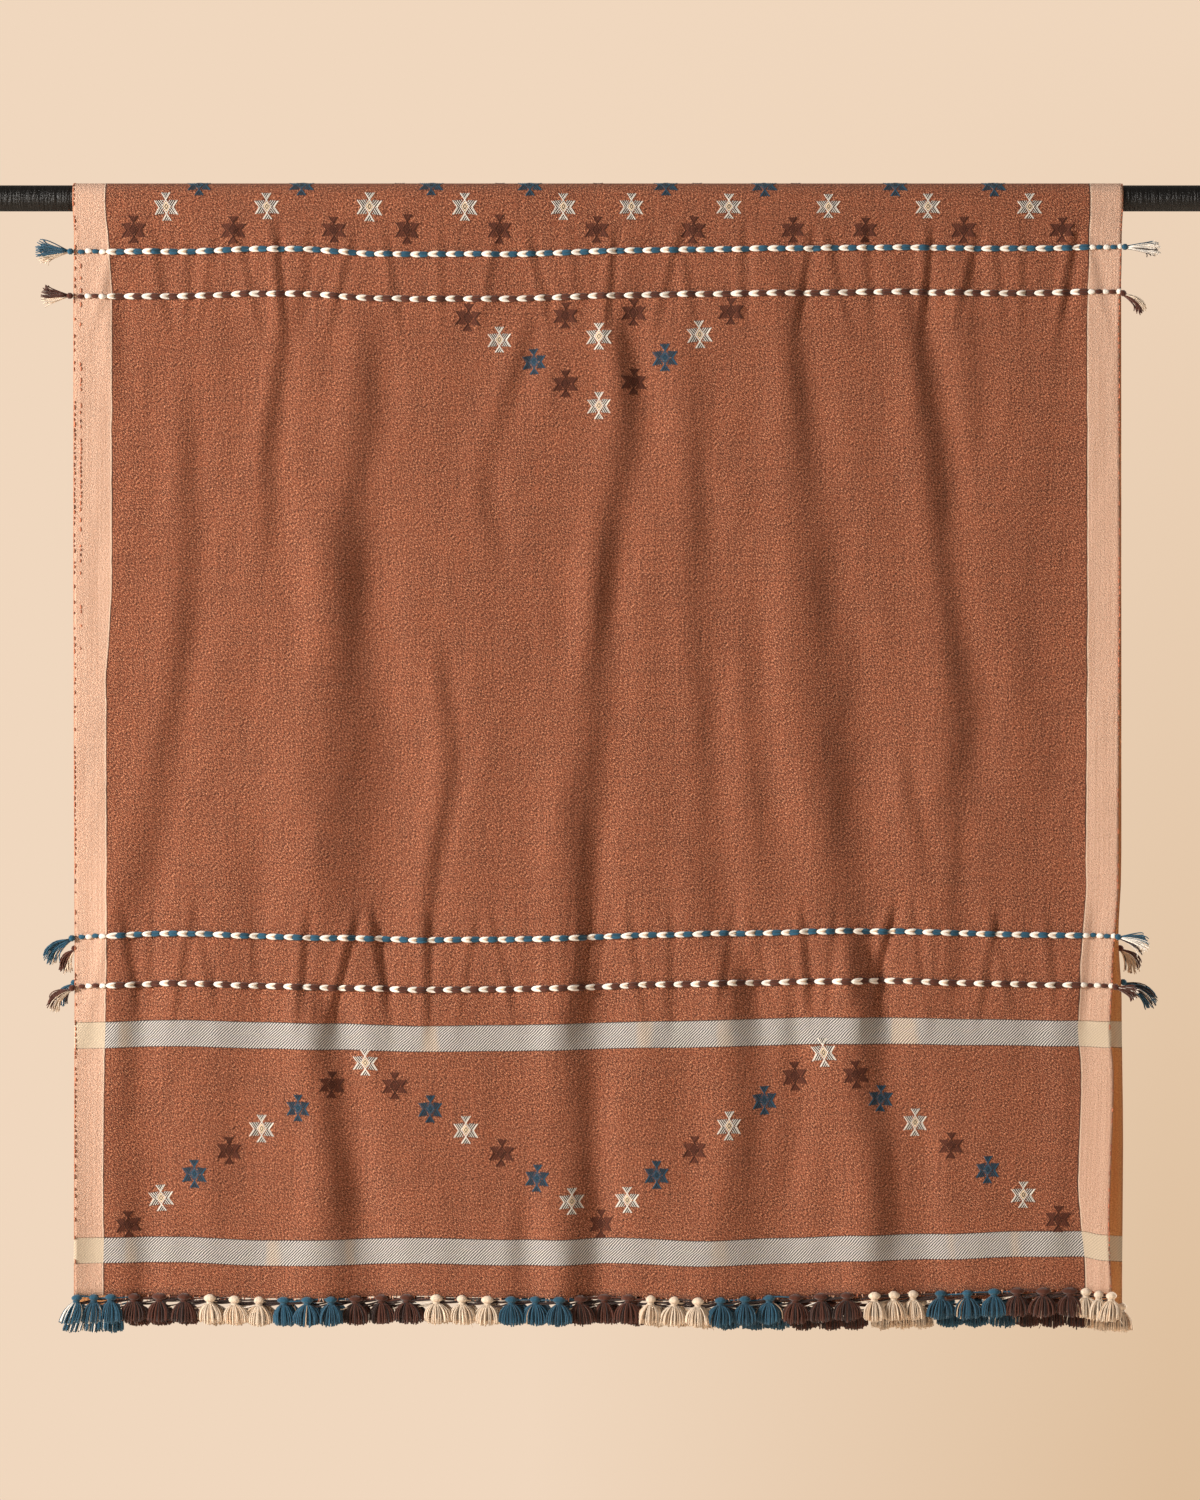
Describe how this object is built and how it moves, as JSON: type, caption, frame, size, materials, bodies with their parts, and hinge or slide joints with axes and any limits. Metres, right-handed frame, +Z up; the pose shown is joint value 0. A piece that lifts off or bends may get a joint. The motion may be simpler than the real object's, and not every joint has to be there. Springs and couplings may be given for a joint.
{
  "type": "shawl on a rod",
  "caption": "Handwoven wool shawl with twined cords, woven stripes, star motifs and hem tassels, hung in two falls over a level rod.",
  "frame": {"origin": "middle of the rod's axis, where the rod is held", "axes": "+X along the rod, to the right of someone who faces the shawl; +Y from the front fall to the back fall; +Z up"},
  "size_m": [1.2, 0.0521, 1.1029],
  "materials": {
    "rust_wool": "matt, grainy handwoven wool",
    "blue_wool": "matt wool yarn",
    "brown_wool": "matt wool yarn",
    "cream_wool": "matt wool yarn",
    "rod_black": "satin black, finely wrinkled"
  },
  "bodies": {
    "root": {"back_cord_lower_blue": "blue_wool", "back_cord_lower_blue_tassel_left": "blue_wool", "back_cord_lower_blue_tassel_right": "blue_wool", "back_cord_lower_brown": "brown_wool", "back_cord_lower_brown_tassel_left": "brown_wool", "back_cord_lower_brown_tassel_right": "brown_wool", "back_cord_upper_blue": "blue_wool", "back_cord_upper_blue_tassel_left": "blue_wool", "back_cord_upper_blue_tassel_right": "blue_wool", "back_cord_upper_brown": "brown_wool", "back_cord_upper_brown_tassel_left": "brown_wool", "back_cord_upper_brown_tassel_right": "brown_wool", "back_hem_tassels_01_blue": "blue_wool", "back_hem_tassels_02_brown": "brown_wool", "back_hem_tassels_03_cream": "cream_wool", "back_hem_tassels_04_blue": "blue_wool", "back_hem_tassels_05_brown": "brown_wool", "back_hem_tassels_06_cream": "cream_wool", "back_hem_tassels_07_blue": "blue_wool", "back_hem_tassels_08_brown": "brown_wool", "back_hem_tassels_09_cream": "cream_wool", "back_hem_tassels_10_blue": "blue_wool", "back_hem_tassels_11_brown": "brown_wool", "back_hem_tassels_12_cream": "cream_wool", "back_hem_tassels_13_blue": "blue_wool", "back_hem_tassels_14_brown": "brown_wool", "back_hem_tassels_15_cream": "cream_wool", "cloth_back_fall": "rust_wool", "cloth_front_fall": "rust_wool", "cloth_over_rod": "rust_wool", "front_cord_lower_blue": "blue_wool", "front_cord_lower_blue_tassel_left": "blue_wool", "front_cord_lower_blue_tassel_right": "blue_wool", "front_cord_lower_brown": "brown_wool", "front_cord_lower_brown_tassel_left": "brown_wool", "front_cord_lower_brown_tassel_right": "brown_wool", "front_cord_upper_blue": "blue_wool", "front_cord_upper_blue_tassel_left": "blue_wool", "front_cord_upper_blue_tassel_right": "blue_wool", "front_cord_upper_brown": "brown_wool", "front_cord_upper_brown_tassel_left": "brown_wool", "front_cord_upper_brown_tassel_right": "brown_wool", "front_hem_tassels_01_blue": "blue_wool", "front_hem_tassels_02_brown": "brown_wool", "front_hem_tassels_03_cream": "cream_wool", "front_hem_tassels_04_blue": "blue_wool", "front_hem_tassels_05_brown": "brown_wool", "front_hem_tassels_06_cream": "cream_wool", "front_hem_tassels_07_blue": "blue_wool", "front_hem_tassels_08_brown": "brown_wool", "front_hem_tassels_09_cream": "cream_wool", "front_hem_tassels_10_blue": "blue_wool", "front_hem_tassels_11_brown": "brown_wool", "front_hem_tassels_12_cream": "cream_wool", "front_hem_tassels_13_blue": "blue_wool", "front_hem_tassels_14_brown": "brown_wool", "front_hem_tassels_15_cream": "cream_wool", "rod": "rod_black"}
  },
  "joints": []
}
